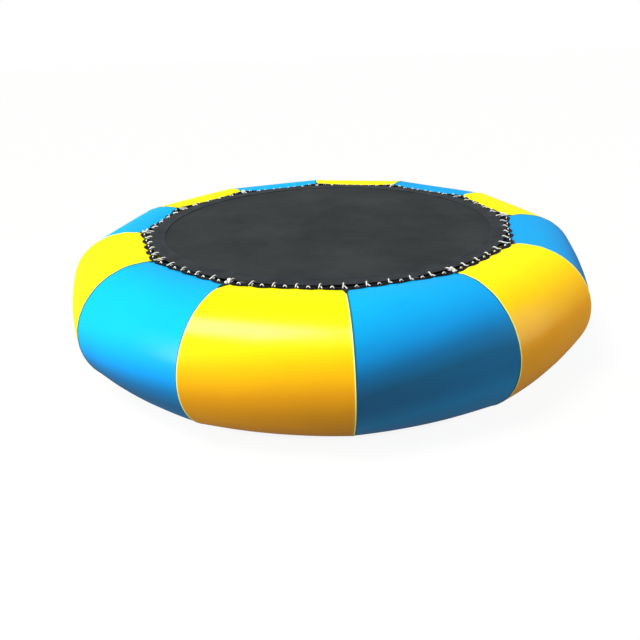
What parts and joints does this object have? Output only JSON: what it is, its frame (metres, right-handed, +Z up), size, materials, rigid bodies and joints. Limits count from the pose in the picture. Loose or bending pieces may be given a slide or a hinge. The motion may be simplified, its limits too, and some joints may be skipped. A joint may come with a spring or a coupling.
{
  "type": "water trampoline",
  "caption": "Inflatable ring of mitred yellow and blue panels with a round jump mat laced inside it by white elastic cord, an inflation valve and low anchor rings.",
  "frame": {"origin": "on the ground under the middle of the ring, with the ring resting on its flattened underside", "axes": "+Z is up; +X runs through a seam between two panels, and -Y points at the side nearest to the viewer of the picture"},
  "size_m": [3.0004, 3.0004, 0.6641],
  "materials": {
    "pvc_yellow": "soft gloss, coated fabric",
    "pvc_blue": "soft gloss, coated fabric",
    "mat_weave": "matt, woven",
    "skirt_black": "satin, coated webbing",
    "strip_black": "matt webbing",
    "cord_white": "braided elastic cord",
    "valve_plastic": "moulded, satin",
    "valve_rubber": "matt",
    "spring_steel": "drawn wire",
    "ring_steel": "polished stainless wire"
  },
  "bodies": {
    "ring": {"panel_01_yellow": "pvc_yellow", "panel_02_blue": "pvc_blue", "panel_03_yellow": "pvc_yellow", "panel_04_blue": "pvc_blue", "panel_05_yellow": "pvc_yellow", "panel_06_blue": "pvc_blue", "panel_07_yellow": "pvc_yellow", "panel_08_blue": "pvc_blue", "panel_09_yellow": "pvc_yellow", "panel_10_blue": "pvc_blue", "panel_11_yellow": "pvc_yellow", "panel_12_blue": "pvc_blue", "lacing_strip_01": "strip_black", "lacing_strip_02": "strip_black", "lacing_strip_03": "strip_black", "lacing_strip_04": "strip_black", "lacing_strip_05": "strip_black", "lacing_strip_06": "strip_black", "lacing_strip_07": "strip_black", "lacing_strip_08": "strip_black", "lacing_strip_09": "strip_black", "lacing_strip_10": "strip_black", "lacing_strip_11": "strip_black", "lacing_strip_12": "strip_black", "mat_skirt": "skirt_black", "lacing_cord_1": "cord_white", "lacing_cord_2": "cord_white", "lacing_cord_3": "cord_white", "lacing_cord_4": "cord_white", "lacing_cord_5": "cord_white", "lacing_cord_6": "cord_white", "valve_base": "valve_plastic", "valve_body": "valve_plastic", "valve_spring": "spring_steel", "anchor_patch_1": "pvc_blue", "anchor_patch_2": "pvc_yellow", "anchor_patch_3": "pvc_blue", "anchor_patch_4": "pvc_yellow", "anchor_tab_1": "strip_black", "anchor_tab_2": "strip_black", "anchor_tab_3": "strip_black", "anchor_tab_4": "strip_black"},
    "mat": {"jump_mat": "mat_weave"},
    "tether": {"valve_tether": "valve_rubber"},
    "cap": {"valve_cap": "valve_plastic"},
    "poppet": {"valve_poppet": "valve_plastic", "valve_seal": "valve_rubber"},
    "ring_1": {"anchor_ring_1": "ring_steel"},
    "ring_2": {"anchor_ring_2": "ring_steel"},
    "ring_3": {"anchor_ring_3": "ring_steel"},
    "ring_4": {"anchor_ring_4": "ring_steel"}
  },
  "joints": [
    {"name": "mat_bounce", "type": "slide", "parent": "ring", "child": "mat", "axis": [0, 0, -1], "range_m": [0, 0.25], "stiffness_N_per_m": 4000, "springref_m": -0.01, "deforming": ["jump_mat"]},
    {"name": "tether_swivel", "type": "hinge", "parent": "ring", "child": "tether", "pos_m": [0.36465, 1.36089, 0.4924], "axis": [0.2163, 0.8073, 0.5491], "continuous": true},
    {"name": "cap_lift", "type": "slide", "parent": "tether", "child": "cap", "axis": [0.2163, 0.8073, 0.5491], "range_m": [0, 0.03], "deforming": ["valve_tether"]},
    {"name": "valve_press", "type": "slide", "parent": "ring", "child": "poppet", "axis": [-0.2163, -0.8073, -0.5491], "range_m": [0, 0.0045], "stiffness_N_per_m": 400, "springref_m": -0.004, "deforming": ["valve_spring"]},
    {"name": "anchor_swing_1", "type": "hinge", "parent": "ring", "child": "ring_1", "pos_m": [0.59627, 0.59627, 0.12295], "axis": [-0.7071, 0.7071, 0], "range_deg": [-30, 125]},
    {"name": "anchor_swing_2", "type": "hinge", "parent": "ring", "child": "ring_2", "pos_m": [-0.59563, 0.59563, 0.12219], "axis": [-0.7071, -0.7071, 0], "range_deg": [-30, 125]},
    {"name": "anchor_swing_3", "type": "hinge", "parent": "ring", "child": "ring_3", "pos_m": [-0.59627, -0.59627, 0.12295], "axis": [0.7071, -0.7071, 0], "range_deg": [-30, 125]},
    {"name": "anchor_swing_4", "type": "hinge", "parent": "ring", "child": "ring_4", "pos_m": [0.59563, -0.59563, 0.12219], "axis": [0.7071, 0.7071, 0], "range_deg": [-30, 125]}
  ]
}
